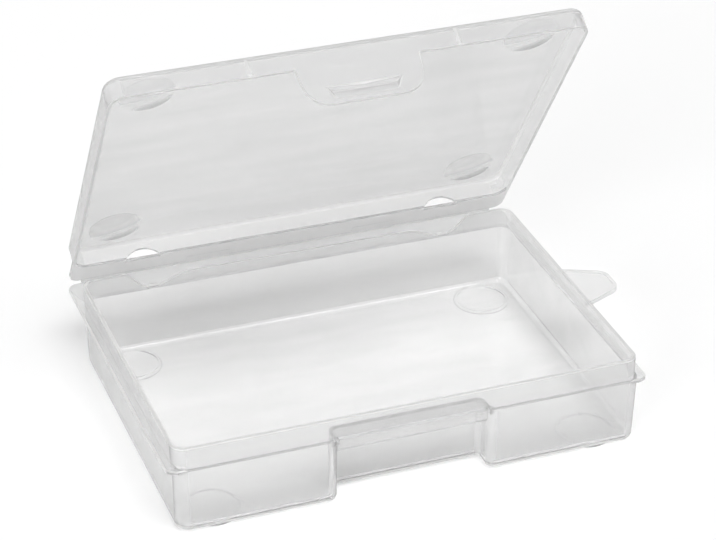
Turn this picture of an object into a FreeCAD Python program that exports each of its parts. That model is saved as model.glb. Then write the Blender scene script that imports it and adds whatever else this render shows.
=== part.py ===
"""Flat hinged storage box: a shallow tub with a standing lip and a tray lid on a film hinge.

Millimetres, +Z up, front of the box towards -Y. The origin is in the middle of the tub's
underside, which its feet hold just off the ground. Everything is moulded in one go from
clear plastic, and it is split here along the fold of the hinge film, into the base and the
lid that turn against each other.
"""
import FreeCAD, Part
import math
import os

V = FreeCAD.Vector

# Tub
wall_length = 170.0      # over the side walls, at the ledge
wall_depth = 119.8       # over the front and rear walls, at the ledge
wall = 1.2               # wall thickness
floor = 1.2              # floor thickness
wall_draft = 0.6         # how far the walls lean in at the bottom
bottom_round = 2.4       # outer rounding between wall and bottom
floor_round = 2.4        # inner rounding between wall and floor
corner_round = 5.0       # upright corners, in plan
ledge_top = 25.8         # height of the ledge that the lid lands on
ledge_edge = 0.4         # bevel of the ledge's upper edge

# Feet
foot_radius = 10.6
foot_height = 0.6        # how far the round feet stand out below the bottom
foot_inset = 15.4        # foot centre to the outside of the side wall
foot_inset_y = 12.3      # foot centre to the outside of the front or rear wall
foot_edge = 0.3          # bevel round the foot

# Standing lip
lip_top = 32.6
lip_inset = 2.1          # front lip, inside the outer face of the front wall
lip_edge = 0.35          # rounding of the rim
rear_lip_top = 29.6      # the middle of the rear lip is lower than its ends
dip_outer = 69.5         # where the rear lip starts to dip, from the middle
dip_inner = 43.0         # where it has risen to the low middle part
dip_lowest = 59.5        # where it comes down to the ledge

# Flange round the ledge
flange = 1.3             # thickness
flange_side = 2.8        # reach beyond the side wall
flange_round = 4.0       # its corners, in plan
hinge_reach = 11.4       # rear wall to the line that the film folds on
hinge_gap = 0.8          # flange edge to the fold

# Grip tab on the right side
tab_reach = 16.6         # beyond the flange
tab_middle = 5.9         # its middle, along Y
tab_root = 27.0          # width at the flange
tab_tip = 12.0           # width at the tip
tab_round = 5.0
tab_rim = 1.3            # width of its raised rim
tab_rim_height = 0.5

# Latch recess in the front wall
recess_width = 55.0
recess_depth = 9.2
recess_roof = 23.6
recess_mouth_round = 2.6
recess_corner_round = 1.8
catch_bottom = 20.0      # the lip runs down to here, and the latch hooks under it

# Lid
lid_overhang = 1.6       # how far the closed lid stands out over the side and rear walls
lid_front_gap = 0.8      # the same over the front wall
lid_skirt = 8.6          # skirt's free edge to the top of the panel
lid_wall = 1.2
lid_corner = 6.0
lid_edge = 2.2           # outer rounding between skirt and panel
lid_inner_edge = 1.4
seat_gap = 0.1           # closed lid to ledge

# Dimples in the panel, above the feet
dimple_radius = 9.8      # at the panel's underside
dimple_depth = 0.9
dimple_inset = 16.8      # centre to the outside of the side skirt
dimple_inset_y = 14.4    # centre to the outside of the front or rear skirt

# Openings in the rear skirt, straight above its free edge
window_width = 14.0
window_height = 3.8
window_middle = 59.2     # from the middle of the lid

# Latch flap on the front skirt
latch_width = 44.8       # at the skirt's free edge
latch_foot_width = 42.0  # at the bottom, before its corners are rounded
latch_length = 14.8      # below the skirt's free edge
latch_round = 9.0
hook_drop = 7.3          # skirt's free edge to the hook's upper edge
hook_height = 5.6
hook_width = 28.8        # at the flap
hook_tip_width = 22.8
hook_tip_drop = 2.0      # how much lower the hook's tip starts
hook_tip_height = 0.6
hook_clear = 0.3         # hook tip to the plate that it hooks under

# Ribs inside the front skirt
rib_middle = 37.6
rib_width = 1.2
rib_height = 0.7         # out from the skirt
rib_bump = 1.1           # radius of the rounded lower end

# Hinge film, along the whole fold, with two longer straps in it
film = 0.4
film_half_length = 82.0
strap_width = 17.0
strap_middle = 33.0
strap_length = 4.5       # flange to fold, on each side

lid_open = 56.5          # the lid as it stands, in degrees up from closed

# Worked out from the sizes above
half_length = wall_length / 2
half_depth = wall_depth / 2
flange_half = half_length + flange_side
flange_bottom = ledge_top - flange
hinge_y = half_depth + hinge_reach
hinge_z = ledge_top + seat_gap / 2
lid_bottom = ledge_top + seat_gap
lid_top = lid_bottom + lid_skirt
lid_half = half_length + lid_overhang
lid_front = -half_depth - lid_front_gap
lid_rear = half_depth + lid_overhang
overlap = 0.5            # how far joined solids run into each other


def plan(z):
    return lambda a, b: V(a, b, z)


def section(x):
    return lambda a, b: V(x, a, b)


def elevation(y):
    return lambda a, b: V(a, y, b)


def outline(corners, place):
    """Closed wire through (a, b, radius) corners, each rounded by a tangent arc."""
    edges, ends = [], []
    for i, (a, b, radius) in enumerate(corners):
        corner = V(a, b, 0)
        before = (V(*corners[i - 1][:2], 0) - corner).normalize()
        after = (V(*corners[(i + 1) % len(corners)][:2], 0) - corner).normalize()
        if radius == 0:
            ends.append((corner, None, corner))
            continue
        half = before.getAngle(after) / 2
        run = radius / math.tan(half)
        middle = (before + after).normalize()
        waist = corner + middle * (radius / math.sin(half) - radius)
        ends.append((corner + before * run, waist, corner + after * run))
    for i, (start, waist, end) in enumerate(ends):
        if waist is not None:
            edges.append(Part.Arc(*[place(p.x, p.y) for p in (start, waist, end)]).toShape())
        following = ends[(i + 1) % len(ends)][0]
        if (following - end).Length > 1e-6:
            edges.append(Part.makeLine(place(end.x, end.y), place(following.x, following.y)))
    return Part.Wire(edges)


def rectangle(left, right, front, rear, radius):
    return [(left, front, radius), (right, front, radius),
            (right, rear, radius), (left, rear, radius)]


def prism(corners, place, push):
    return Part.Face(outline(corners, place)).extrude(push)


def level_edges(shape, z):
    return [e for e in shape.Edges if all(abs(v.Z - z) < 1e-4 for v in e.Vertexes)
            and e.BoundBox.ZLength < 1e-4]


def upright_edges(shape, x):
    """The upright edges whose middle is that far from the box's middle, on both sides."""
    return [e for e in shape.Edges if e.BoundBox.ZLength > ledge_top / 2
            and abs(abs(e.CenterOfMass.x) - x) < wall_draft]


def drafted_block(inset, low, high):
    """Block with the tub's four walls, which lean in at the bottom, and its upright corners."""
    x, y = half_length - inset, half_depth - inset
    across, along = [[(-half + wall_draft, low, 0), (half - wall_draft, low, 0),
                      (half, high, 0), (-half, high, 0)] for half in (x, y)]
    block = prism(across, elevation(-y), V(0, 2 * y, 0))
    block = block.common(prism(along, section(-x), V(2 * x, 0, 0)))
    return block.makeFillet(corner_round - inset, upright_edges(block, x))


def recess_space(spread, corner):
    """Straight space of the latch recess, open to the front, grown by spread."""
    half = recess_width / 2 + spread
    out, back = -half_depth - overlap, -half_depth + recess_depth + spread
    plan_corners = [(-half, out, 0), (half, out, 0), (half, back, corner), (-half, back, corner)]
    return prism(plan_corners, plan(-overlap), V(0, 0, recess_roof + spread + overlap))


def rounded_block(inset, low, high, bottom_rounding):
    """The drafted block with the recess taken out, rounded at its mouth and along the bottom."""
    block = drafted_block(inset, low, high)
    block = block.cut(recess_space(inset, recess_corner_round + inset))
    mouth = upright_edges(block, recess_width / 2 + inset)
    front = [e for e in mouth if e.CenterOfMass.y < -half_depth + recess_depth / 2]
    block = block.makeFillet(recess_mouth_round, front)
    return block.makeFillet(bottom_rounding, level_edges(block, low))


def lip_plan(inset):
    x = half_length - inset
    return rectangle(-x, x, -half_depth + lip_inset + inset, half_depth - inset,
                     corner_round - inset)


def lip_block():
    push = V(0, 0, lip_top - flange_bottom)
    block = prism(lip_plan(0), plan(flange_bottom), push)
    return block.makeFillet(lip_edge, level_edges(block, lip_top))


def flange_plate():
    rear = hinge_y - hinge_gap
    corners = rectangle(-flange_half, flange_half, -half_depth, rear, flange_round)
    plate = prism(corners, plan(flange_bottom), V(0, 0, flange))
    return plate.makeChamfer(ledge_edge, level_edges(plate, ledge_top))


def tub_cavity():
    """The space inside, up through the lip, with the recess standing into it."""
    low = rounded_block(wall, floor, flange_bottom, floor_round)
    mouth = max(drafted_block(wall, floor, flange_bottom).Faces, key=lambda f: f.CenterOfMass.z)
    push = V(0, 0, lip_top + overlap - flange_bottom)
    (left, front, radius), (right, _, _) = lip_plan(wall)[:2]
    behind_lip = prism([(left, front, radius), (right, front, radius),
                        (right, half_depth, 0), (left, half_depth, 0)], plan(flange_bottom), push)
    throat = mouth.extrude(push).common(behind_lip)
    return low.fuse(throat.cut(recess_space(wall, recess_corner_round + wall)))


def catch_space():
    """What is open in front of the lip over the recess, down past the catch plate."""
    lip = -half_depth + lip_inset
    half = recess_width / 2
    return Part.makeBox(2 * half, lip + half_depth + overlap, lip_top - recess_roof + 2 * overlap,
                        V(-half, -half_depth - overlap, recess_roof - overlap))


def catch_plate():
    height = recess_roof + overlap - catch_bottom
    return Part.makeBox(recess_width, wall, height,
                        V(-recess_width / 2, -half_depth + lip_inset, catch_bottom))


def feet():
    for x in (-1, 1):
        for y in (-1, 1):
            yield V(x * (half_length - foot_inset), y * (half_depth - foot_inset_y), 0)


def with_feet(shape):
    """Four round feet under the floor, dished inside so that the floor stays even."""
    for place in feet():
        start = place - V(0, 0, foot_height)
        foot = Part.makeCylinder(foot_radius, foot_height + overlap, start)
        foot = foot.makeChamfer(foot_edge, level_edges(foot, start.z))
        shape = shape.fuse(foot)
    for place in feet():
        start = place + V(0, 0, floor - foot_height)
        shape = shape.cut(Part.makeCylinder(foot_radius - wall, foot_height + overlap, start))
    return shape


def rear_dip():
    """What is cut out of the rear lip: the low middle and a dip at each end of it."""
    rise = dip_inner + (dip_lowest - dip_inner) * 0.4
    fall = dip_lowest + (dip_outer - dip_lowest) * 0.5
    right = [(dip_inner, rear_lip_top), (rise, (rear_lip_top + ledge_top) / 2 + 0.2),
             (dip_lowest, ledge_top), (fall, (lip_top + ledge_top) / 2), (dip_outer, lip_top)]
    place = elevation(half_depth - 2 * wall)
    above = lip_top + overlap
    curves = []
    for side in (-1, 1):
        curve = Part.BSplineCurve()
        points = [place(side * a, b) for a, b in right]
        curve.interpolate(Points=points, InitialTangent=V(side, 0, 0), FinalTangent=V(side, 0, 0))
        curves.append(curve.toShape())
    left, right_curve = curves
    corners = [place(-dip_outer, lip_top), place(-dip_outer, above),
               place(dip_outer, above), place(dip_outer, lip_top)]
    edges = [Part.makeLine(corners[i], corners[i + 1]) for i in range(3)]
    middle = Part.makeLine(place(-dip_inner, rear_lip_top), place(dip_inner, rear_lip_top))
    wire = Part.Wire(Part.__sortEdges__(edges + [left, middle, right_curve]))
    return Part.Face(wire).extrude(V(0, 3 * wall, 0))


def grip_tab():
    """Flat tab on the flange's right edge, with a raised rim."""
    def shape(margin, z, height):
        root, tip = tab_root / 2 - margin, tab_tip / 2 - margin
        end = flange_half + tab_reach - margin
        corners = [(flange_half - overlap, tab_middle - root, 0),
                   (end, tab_middle - tip, tab_round - margin),
                   (end, tab_middle + tip, tab_round - margin),
                   (flange_half - overlap, tab_middle + root, 0)]
        return prism(corners, plan(z), V(0, 0, height))
    whole = shape(0, flange_bottom, flange + tab_rim_height)
    dish = shape(tab_rim, ledge_top, tab_rim_height + overlap)
    root = Part.makeBox(2 * overlap, tab_root + 2 * overlap, tab_rim_height + overlap,
                        V(flange_half - overlap, tab_middle - tab_root / 2 - overlap, ledge_top))
    return whole.cut(dish).cut(root)


def strap_spans():
    for side in (-1, 1):
        yield side * strap_middle - strap_width / 2


def with_film(shape, film_bottom):
    """Film from the flange to the fold, and the two straps that take the flange's place."""
    reach = hinge_gap + overlap
    shape = shape.fuse(Part.makeBox(2 * film_half_length, reach, film,
                                    V(-film_half_length, hinge_y - reach, film_bottom)))
    start = hinge_y - strap_length
    for left in strap_spans():
        slot = Part.makeBox(strap_width, strap_length, 4 * flange, V(left, start, hinge_z - 2 * flange))
        strap = Part.makeBox(strap_width, strap_length + overlap, film,
                             V(left, start - overlap, film_bottom))
        shape = shape.cut(slot).fuse(strap)
    return shape


def base():
    envelope = rounded_block(0, 0, ledge_top, bottom_round).fuse(lip_block())
    shell = envelope.fuse(flange_plate()).cut(recess_space(0, recess_corner_round))
    shell = with_feet(shell.cut(tub_cavity()))
    shell = shell.cut(catch_space()).fuse(catch_plate()).cut(rear_dip()).fuse(grip_tab())
    return with_film(shell, hinge_z - film)


def lid_plan(inset):
    x = lid_half - inset
    return rectangle(-x, x, lid_front + inset, lid_rear - inset, lid_corner - inset)


def lid_tray():
    block = prism(lid_plan(0), plan(lid_bottom), V(0, 0, lid_skirt))
    block = block.makeFillet(lid_edge, level_edges(block, lid_top))
    depth = lid_skirt - lid_wall
    hollow = prism(lid_plan(lid_wall), plan(lid_bottom), V(0, 0, depth))
    hollow = hollow.makeFillet(lid_inner_edge, level_edges(hollow, lid_bottom + depth))
    rear = hinge_y - hinge_gap
    corners = [(-lid_half, lid_rear - lid_corner, 0), (lid_half, lid_rear - lid_corner, 0),
               (lid_half, rear, flange_round), (-lid_half, rear, flange_round)]
    lug = prism(corners, plan(lid_bottom), V(0, 0, flange))
    return block.fuse(lug).cut(hollow)


def dimples(shape):
    """Shallow round dishes in the panel, which bulge on its underside.

    Their spheres lie on their sides, so that no pole falls inside a dish.
    """
    bulge = (dimple_radius ** 2 + dimple_depth ** 2) / (2 * dimple_depth)
    middle = lid_top - lid_wall - dimple_depth + bulge
    lying = V(0, 1, 0)
    x = lid_half - dimple_inset
    for y in (lid_front + dimple_inset_y, lid_rear - dimple_inset_y):
        for side in (-x, x):
            centre = V(side, y, middle)
            below = Part.makeCylinder(dimple_radius + lid_wall, lid_skirt, V(side, y, lid_bottom))
            shape = shape.fuse(Part.makeSphere(bulge, centre, lying).common(below))
            shape = shape.cut(Part.makeSphere(bulge - lid_wall, centre, lying))
    return shape


def windows():
    """Arched openings cut through the rear skirt."""
    radius = (window_width ** 2 / 4 + window_height ** 2) / (2 * window_height)
    centre_z = lid_bottom + window_height - radius
    for side in (-1, 1):
        start = V(side * window_middle, lid_rear - 2 * lid_wall, centre_z)
        arch = Part.makeCylinder(radius, 2 * lid_wall + overlap, start, V(0, 1, 0))
        above = Part.makeBox(window_width, 4 * lid_wall, window_height,
                             V(start.x - window_width / 2, start.y, lid_bottom))
        yield arch.common(above)


def latch():
    """Flap hanging from the front skirt, with a bevelled hook across its inner face."""
    inner = lid_front + lid_wall
    top = lid_bottom + lid_wall
    low = lid_bottom - latch_length
    corners = [(-latch_width / 2, top, 0), (latch_width / 2, top, 0),
               (latch_foot_width / 2, low, latch_round), (-latch_foot_width / 2, low, latch_round)]
    flap = prism(corners, elevation(lid_front), V(0, lid_wall, 0))
    tip = -half_depth + lip_inset - hook_clear
    hook_top = lid_bottom - hook_drop
    hook_low = hook_top - hook_height
    root_wire = outline([(-hook_width / 2, hook_top, 0), (hook_width / 2, hook_top, 0),
                         (hook_tip_width / 2, hook_low, 0), (-hook_tip_width / 2, hook_low, 0)],
                        elevation(inner - overlap / 2))
    tip_half = hook_tip_width / 2
    tip_top = hook_top - hook_tip_drop
    tip_wire = outline([(-tip_half, tip_top, 0), (tip_half, tip_top, 0),
                        (tip_half, tip_top - hook_tip_height, 0),
                        (-tip_half, tip_top - hook_tip_height, 0)],
                       elevation(tip))
    return flap.fuse(Part.makeLoft([root_wire, tip_wire], True, True))


def skirt_ribs():
    """Two upright ribs inside the front skirt, each with a rounded lower end."""
    inner = lid_front + lid_wall
    low = lid_bottom + rib_bump
    height = lid_skirt - lid_wall - rib_bump + overlap
    for side in (-1, 1):
        x = side * rib_middle
        yield Part.makeBox(rib_width, rib_height + overlap, height,
                           V(x - rib_width / 2, inner - overlap, low))
        ball = Part.makeSphere(rib_bump, V(x, inner, low), V(1, 0, 0))
        yield ball.common(Part.makeBox(4 * rib_bump, 2 * rib_bump, 4 * rib_bump,
                                       V(x - 2 * rib_bump, inner - overlap, low - 2 * rib_bump)))


def lid():
    shape = dimples(lid_tray())
    for window in windows():
        shape = shape.cut(window)
    shape = shape.fuse(latch())
    for rib in skirt_ribs():
        shape = shape.fuse(rib)
    shape = with_film(shape, hinge_z)
    shape.rotate(V(0, hinge_y, hinge_z), V(1, 0, 0), -lid_open)
    return shape


os.makedirs("parts", exist_ok=True)
for name, build in (("base", base), ("lid", lid)):
    solid = build().removeSplitter()
    solid.exportStep(f"parts/{name}.step")
    print(name, len(solid.Solids), "solid", round(solid.Volume), "mm3", solid.isValid())
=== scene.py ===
"""Flat hinged storage box in clear, slightly milky plastic, dressed round its CAD model.

Metres, +Z up, front of the box towards -Y.
"""
import math

import bpy
from mathutils import Matrix, Vector


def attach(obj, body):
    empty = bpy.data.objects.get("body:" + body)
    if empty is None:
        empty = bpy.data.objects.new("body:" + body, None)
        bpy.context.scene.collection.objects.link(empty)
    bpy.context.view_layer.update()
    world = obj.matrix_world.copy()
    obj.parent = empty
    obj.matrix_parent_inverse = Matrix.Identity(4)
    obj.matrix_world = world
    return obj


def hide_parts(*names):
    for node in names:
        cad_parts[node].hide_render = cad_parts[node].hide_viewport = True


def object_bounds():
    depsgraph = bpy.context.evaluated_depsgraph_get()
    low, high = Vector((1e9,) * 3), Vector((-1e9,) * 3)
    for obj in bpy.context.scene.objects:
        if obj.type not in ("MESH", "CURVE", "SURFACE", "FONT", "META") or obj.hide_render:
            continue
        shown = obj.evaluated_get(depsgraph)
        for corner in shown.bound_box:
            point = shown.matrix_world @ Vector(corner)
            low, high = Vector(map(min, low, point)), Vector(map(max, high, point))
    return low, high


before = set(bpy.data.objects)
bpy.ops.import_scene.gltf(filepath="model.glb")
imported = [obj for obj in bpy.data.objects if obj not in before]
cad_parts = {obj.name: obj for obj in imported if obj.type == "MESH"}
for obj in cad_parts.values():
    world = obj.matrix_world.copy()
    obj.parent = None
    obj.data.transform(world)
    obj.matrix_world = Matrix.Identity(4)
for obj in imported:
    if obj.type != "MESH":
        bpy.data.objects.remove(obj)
cad_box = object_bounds()


# Base: the tub with its ledge, standing lip, round feet, latch recess and grip tab. It is
# injection-moulded in clear polypropylene with a slight milkiness. The mould is polished, and
# the melt leaves faint flow streaks. Its thin edges carry a painted highlight: they are painted
# whiter and milkier than the walls, for the bright lines that light draws along them.
def moulded_skin(node):
    """One closed, smoothly shaded skin over a CAD node, whose flat faces stay flat."""
    skin = bpy.data.objects.new(f"{node}_moulding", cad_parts[node].data.copy())
    bpy.context.collection.objects.link(skin)
    bpy.ops.object.select_all(action="DESELECT")
    skin.select_set(True)
    bpy.context.view_layer.objects.active = skin
    bpy.ops.mesh.customdata_custom_splitnormals_clear()
    bpy.ops.object.mode_set(mode="EDIT")
    bpy.ops.mesh.select_all(action="SELECT")
    bpy.ops.mesh.remove_doubles(threshold=1e-6)
    bpy.ops.object.mode_set(mode="OBJECT")
    bpy.ops.object.shade_smooth_by_angle(angle=math.radians(32))
    weighted = skin.modifiers.new("flat_faces", "WEIGHTED_NORMAL")
    weighted.weight = 100
    weighted.keep_sharp = True
    bpy.ops.object.modifier_apply(modifier="flat_faces")
    return skin


def clear_plastic(name, tint, lets_through, streak_turn):
    """Clear polypropylene. The attribute "rim_painted_light" is 0 on open walls and 1 on edges,
    where a painted highlight makes the plastic whiter. Below 0 it is painted shade, greyer, as
    on the far side of a dimple."""
    wall_white = (0.84, 0.84, 0.84, 1)
    material = bpy.data.materials.new(name)
    material.use_nodes = True
    nodes, links = material.node_tree.nodes, material.node_tree.links
    nodes.clear()

    # Flow streaks, which run across the box.
    place = nodes.new("ShaderNodeTexCoord")
    turn = nodes.new("ShaderNodeMapping")
    turn.inputs["Rotation"].default_value = streak_turn
    turn.inputs["Scale"].default_value = (22, 100, 100)
    streaks = nodes.new("ShaderNodeTexNoise")
    streaks.inputs["Scale"].default_value = 1
    streaks.inputs["Detail"].default_value = 3
    links.new(place.outputs["Object"], turn.inputs["Vector"])
    links.new(turn.outputs["Vector"], streaks.inputs["Vector"])

    # The clear body, with a moulded gloss that the streaks roughen.
    gloss = nodes.new("ShaderNodeMapRange")
    gloss.inputs["To Min"].default_value = 0.06
    gloss.inputs["To Max"].default_value = 0.13
    ripple = nodes.new("ShaderNodeBump")
    ripple.inputs["Strength"].default_value = 0.01
    ripple.inputs["Distance"].default_value = 0.0006
    body = nodes.new("ShaderNodeBsdfPrincipled")
    body.inputs["Base Color"].default_value = tint
    body.inputs["Transmission Weight"].default_value = 1
    body.inputs["IOR"].default_value = 1.49
    links.new(streaks.outputs["Fac"], gloss.inputs["Value"])
    links.new(gloss.outputs["Result"], body.inputs["Roughness"])
    links.new(streaks.outputs["Fac"], ripple.inputs["Height"])
    links.new(ripple.outputs["Normal"], body.inputs["Normal"])

    # The milkiness scatters light back and through. Its colour is the walls' own milk in the
    # middle of the ramp, a painted highlight, whiter, towards the edges, and painted shade,
    # grey, in a dimple's far crescent.
    painted_light_attribute = nodes.new("ShaderNodeAttribute")
    painted_light_attribute.attribute_name = "rim_painted_light"
    span = nodes.new("ShaderNodeMapRange")
    span.inputs["From Min"].default_value = -1
    # Painted shade at the low end (0.3), the walls' own milk in the middle, painted highlight
    # at the high end.
    milk_and_painted_light = nodes.new("ShaderNodeValToRGB")
    milk_and_painted_light.color_ramp.elements[0].color = (0.3, 0.3, 0.3, 1)
    milk_and_painted_light.color_ramp.elements[1].color = (0.99, 0.99, 0.99, 1)
    milk_and_painted_light.color_ramp.elements.new(0.5).color = wall_white
    back = nodes.new("ShaderNodeBsdfDiffuse")
    through = nodes.new("ShaderNodeBsdfTranslucent")
    milk = nodes.new("ShaderNodeMixShader")
    milk.inputs["Fac"].default_value = 0.45
    links.new(painted_light_attribute.outputs["Fac"], span.inputs["Value"])
    links.new(span.outputs["Result"], milk_and_painted_light.inputs["Fac"])
    links.new(milk_and_painted_light.outputs["Color"], back.inputs["Color"])
    links.new(milk_and_painted_light.outputs["Color"], through.inputs["Color"])
    links.new(back.outputs["BSDF"], milk.inputs[1])
    links.new(through.outputs["BSDF"], milk.inputs[2])

    # How much of it is milk: a fifth on the walls, a little more or less in the streaks, and
    # most of it at the edges and in the dimples, where it carries the painted highlight and
    # painted shade.
    cloud = nodes.new("ShaderNodeMapRange")
    cloud.inputs["From Min"].default_value = 0.3
    cloud.inputs["From Max"].default_value = 0.7
    cloud.inputs["To Min"].default_value = 0.17
    cloud.inputs["To Max"].default_value = 0.23
    strength = nodes.new("ShaderNodeMath")
    strength.operation = "ABSOLUTE"
    milk_share_and_painted_light = nodes.new("ShaderNodeMapRange")
    milk_share_and_painted_light.inputs["To Max"].default_value = 0.7
    milky = nodes.new("ShaderNodeMixShader")
    links.new(streaks.outputs["Fac"], cloud.inputs["Value"])
    links.new(painted_light_attribute.outputs["Fac"], strength.inputs[0])
    links.new(strength.outputs["Value"], milk_share_and_painted_light.inputs["Value"])
    links.new(cloud.outputs["Result"], milk_share_and_painted_light.inputs["To Min"])
    links.new(milk_share_and_painted_light.outputs["Result"], milky.inputs["Fac"])
    links.new(body.outputs["BSDF"], milky.inputs[1])
    links.new(milk.outputs["Shader"], milky.inputs[2])

    # Lamps shine through the walls and less through the edges, which gives a soft shadow.
    blocked = nodes.new("ShaderNodeMix")
    blocked.data_type = "RGBA"
    blocked.inputs["A"].default_value = lets_through
    blocked.inputs["B"].default_value = (0.3, 0.3, 0.3, 1)
    lamp_ray = nodes.new("ShaderNodeLightPath")
    let_through = nodes.new("ShaderNodeBsdfTransparent")
    shown = nodes.new("ShaderNodeMixShader")
    output = nodes.new("ShaderNodeOutputMaterial")
    links.new(painted_light_attribute.outputs["Fac"], blocked.inputs["Factor"])
    links.new(blocked.outputs["Result"], let_through.inputs["Color"])
    links.new(lamp_ray.outputs["Is Shadow Ray"], shown.inputs["Fac"])
    links.new(milky.outputs["Shader"], shown.inputs[1])
    links.new(let_through.outputs["BSDF"], shown.inputs[2])
    links.new(shown.outputs["Shader"], output.inputs["Surface"])
    return material


def on_rounding(normal):
    """True for a face that is neither level nor upright."""
    return 0.1 < abs(normal.z) < 0.97


def on_upright_corner(normal):
    """True for an upright face between two walls."""
    return abs(normal.x) > 0.2 and abs(normal.y) > 0.2 and abs(normal.z) < 0.1


floor_rounding_top = 0.0045
flange_underside, flange_top, lip_root = 0.0245, 0.0258, 0.0259
flange_side_edge, flange_rear_edge = 0.0875, 0.0702
rear_wall, hinge_side_bottom = 0.0601, 0.0243
base = moulded_skin("base")
base_painted_light = base.data.attributes.new("rim_painted_light", "FLOAT", "CORNER")
# How much painted highlight each face gets, whiter and milkier: most on the lip's top and the
# flange's edges, less on roundings, a little on the inside floor's rounding and on upright
# corners, more on the front corners than on the rear ones, and some on the hinge side.
for face in base.data.polygons:
    normal, spot = face.normal, face.center
    rounded = on_rounding(normal)
    inside_floor = rounded and normal.z > 0 and spot.z < floor_rounding_top
    lip_top = normal.z > 0.1 and spot.z > lip_root
    flange_edge = (flange_underside < spot.z < flange_top
                   and (abs(spot.x) > flange_side_edge or spot.y > flange_rear_edge))
    hinge_side = spot.y > rear_wall and spot.z > hinge_side_bottom
    corner_amount = 0.2 if spot.y < 0 else 0.1
    amount = max(1.0 * (lip_top or flange_edge),
                 0.75 * (rounded and not inside_floor),
                 0.1 * inside_floor,
                 corner_amount * on_upright_corner(normal),
                 0.3 * hinge_side)
    for loop in face.loop_indices:
        base_painted_light.data[loop].value = amount
base.data.materials.clear()
base.data.materials.append(clear_plastic("clear_plastic_base_skin", (0.975, 0.975, 0.975, 1),
                                         (0.68, 0.68, 0.68, 1), (0, 0, 0)))
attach(base, "base")
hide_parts("base")

# Lid: a shallow tray with skirts, four round dimples, two arched windows, two ribs and the
# latch flap with its hook. It is moulded in one with the base, stands part open on the film
# hinge, and its streaks run across it as they do on the base.
lid_open = math.radians(56.5)
hinge = Vector((0, 0.0713, 0.02585))
shut = Matrix.Rotation(lid_open, 3, "X")
skirt_bottom, below_skirt = 0.02592, 0.0258
hook_half_width, hook_inner_y, hook_top = 0.0145, -0.0592, 0.019
rib_x, rib_half_width, rib_inner_y, rib_top = 0.0376, 0.002, -0.0595, 0.0325
dimple_x, dimple_front_y, dimple_rear_y = 0.0693, -0.0463, 0.0471
dimple_radius = 0.0098
lid = moulded_skin("lid")
lid_painted_light = lid.data.attributes.new("rim_painted_light", "FLOAT", "CORNER")
# How much painted highlight each face gets, whiter and milkier: most on the skirt's lower edges
# and the flap's sides, less on the ribs and roundings, a little on upright corners, and little
# on the hook.
for face in lid.data.polygons:
    normal = shut @ face.normal
    spot = hinge + shut @ (face.center - hinge)
    skirt_edge = normal.z < -0.9 and spot.z < skirt_bottom
    flap_side = abs(normal.y) < 0.9 and spot.z < below_skirt and spot.y < 0
    hook = (flap_side and abs(spot.x) < hook_half_width
            and spot.y > hook_inner_y and spot.z < hook_top)
    rib = (abs(abs(spot.x) - rib_x) < rib_half_width
           and spot.y > rib_inner_y and spot.z < rib_top)
    amount = max(1.0 * (skirt_edge or flap_side),
                 0.8 * rib,
                 0.75 * on_rounding(normal),
                 0.15 * on_upright_corner(normal))
    for loop in face.loop_indices:
        lid_painted_light.data[loop].value = 0.2 if hook else amount
    # A dimple gets painted light and shade: it is painted whiter on the side towards the front
    # left, as if lit there, and greyer in a painted shaded crescent on the other. The two sides
    # swap a little past its middle.
    centre_x = math.copysign(dimple_x, spot.x)
    centre_y = dimple_rear_y if spot.y > 0 else dimple_front_y
    off_centre = math.hypot(spot.x - centre_x, spot.y - centre_y)
    if abs(normal.z) > 0.97 and off_centre < dimple_radius + 0.0005:
        for loop in face.loop_indices:
            point = lid.data.vertices[lid.data.loops[loop].vertex_index].co
            point = hinge + shut @ (point - hinge)
            across = (0.93 * (centre_y - point.y) - 0.36 * (point.x - centre_x)) / dimple_radius
            lit = across + 0.45
            lid_painted_light.data[loop].value = lit * (0.5 if lit > 0 else 1.3)
lid.data.materials.clear()
lid.data.materials.append(clear_plastic("clear_plastic_lid_skin", (0.97, 0.97, 0.97, 1),
                                        (0.53, 0.53, 0.53, 1), (lid_open, 0, 0)))
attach(lid, "lid")
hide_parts("lid")

# Table: a pale matt sheet that keeps the box's soft shadow. It glows a little for the camera,
# so that it reads as white there, and less for what is seen of it through the plastic.
bpy.ops.object.select_all(action="DESELECT")
bpy.ops.mesh.primitive_plane_add(size=6, location=(0, 0, cad_box[0][2] - 0.00005))
table = bpy.context.active_object
table.name = "table"
paper = bpy.data.materials.new("pale_table")
paper.use_nodes = True
nodes, links = paper.node_tree.nodes, paper.node_tree.links
matt = nodes["Principled BSDF"]
matt.inputs["Base Color"].default_value = (0.78, 0.78, 0.78, 1)
matt.inputs["Roughness"].default_value = 0.6
matt.inputs["Specular IOR Level"].default_value = 0.2
matt.inputs["Emission Color"].default_value = (1, 1, 1, 1)
seen = nodes.new("ShaderNodeLightPath")
through_plastic = nodes.new("ShaderNodeMath")
through_plastic.operation = "MULTIPLY"
through_plastic.inputs[1].default_value = 0.08
glow = nodes.new("ShaderNodeMath")
glow.operation = "MULTIPLY_ADD"
glow.inputs[1].default_value = 0.18
links.new(seen.outputs["Is Transmission Ray"], through_plastic.inputs[0])
links.new(seen.outputs["Is Camera Ray"], glow.inputs[0])
links.new(through_plastic.outputs["Value"], glow.inputs[2])
links.new(glow.outputs["Value"], matt.inputs["Emission Strength"])
table.data.materials.append(paper)

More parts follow.
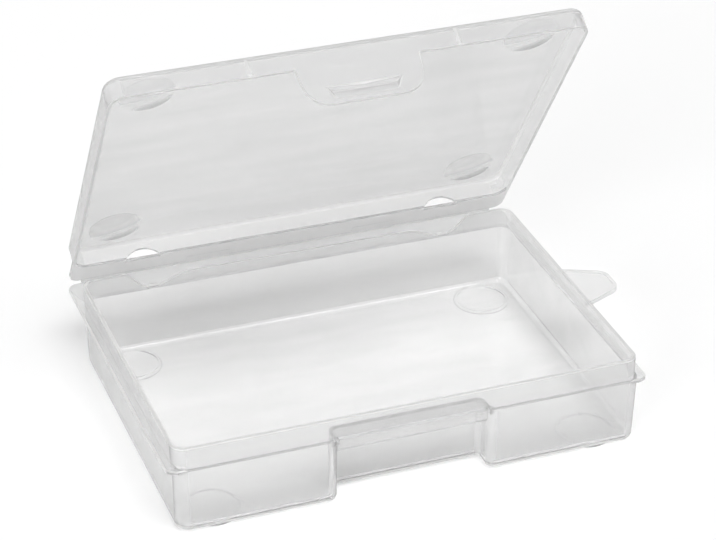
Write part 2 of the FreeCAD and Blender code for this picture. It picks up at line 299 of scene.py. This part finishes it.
# Studio: a soft white tent, a little brighter overhead, that reads as plain white where the
# camera sees it, with a high key lamp in front and a low one from the front left.
world = bpy.data.worlds.new("studio")
bpy.context.scene.world = world
world.use_nodes = True
nodes, links = world.node_tree.nodes, world.node_tree.links
tent = nodes["Background"]
tent.inputs["Color"].default_value = (1, 1, 1, 1)
way = nodes.new("ShaderNodeTexCoord")
height = nodes.new("ShaderNodeSeparateXYZ")
brightness = nodes.new("ShaderNodeMapRange")
brightness.inputs["To Min"].default_value = 0.25
brightness.inputs["To Max"].default_value = 0.4
seen = nodes.new("ShaderNodeLightPath")
plain = nodes.new("ShaderNodeMath")
plain.operation = "MAXIMUM"
links.new(way.outputs["Generated"], height.inputs["Vector"])
links.new(height.outputs["Z"], brightness.inputs["Value"])
links.new(brightness.outputs["Result"], plain.inputs[0])
links.new(seen.outputs["Is Camera Ray"], plain.inputs[1])
links.new(plain.outputs["Value"], tent.inputs["Strength"])
for name, towards, softness, strength in (("key", (0.3, -1.8, 3.6), 35, 2.1),
                                          ("fill", (-3.2, -2.4, 1.2), 30, 1.4)):
    bpy.ops.object.light_add(type="SUN", location=towards)
    lamp = bpy.context.active_object
    lamp.name = name
    lamp.data.angle = math.radians(softness)
    lamp.data.energy = strength
    lamp.rotation_euler = Vector(towards).to_track_quat("Z", "Y").to_euler()

# Camera: a long lens from the front left, a third of the way up.
camera_azimuth = math.radians(-20.47)
camera_elevation = math.radians(30.2)
camera_roll = math.radians(0.38)
camera_distance = 0.898
camera_target = Vector((-0.0035, -0.0123, 0.06105))
away = Vector((math.cos(camera_elevation) * math.sin(camera_azimuth),
               -math.cos(camera_elevation) * math.cos(camera_azimuth),
               math.sin(camera_elevation)))
bpy.ops.object.camera_add(location=camera_target + away * camera_distance)
camera = bpy.context.active_object
camera.data.lens = 130.03
camera.data.sensor_width = 36
look = (-away).to_track_quat("-Z", "Y").to_matrix()
camera.rotation_euler = (look @ Matrix.Rotation(camera_roll, 3, "Z")).to_euler()
bpy.context.scene.camera = camera
bpy.context.scene.view_settings.view_transform = "Standard"
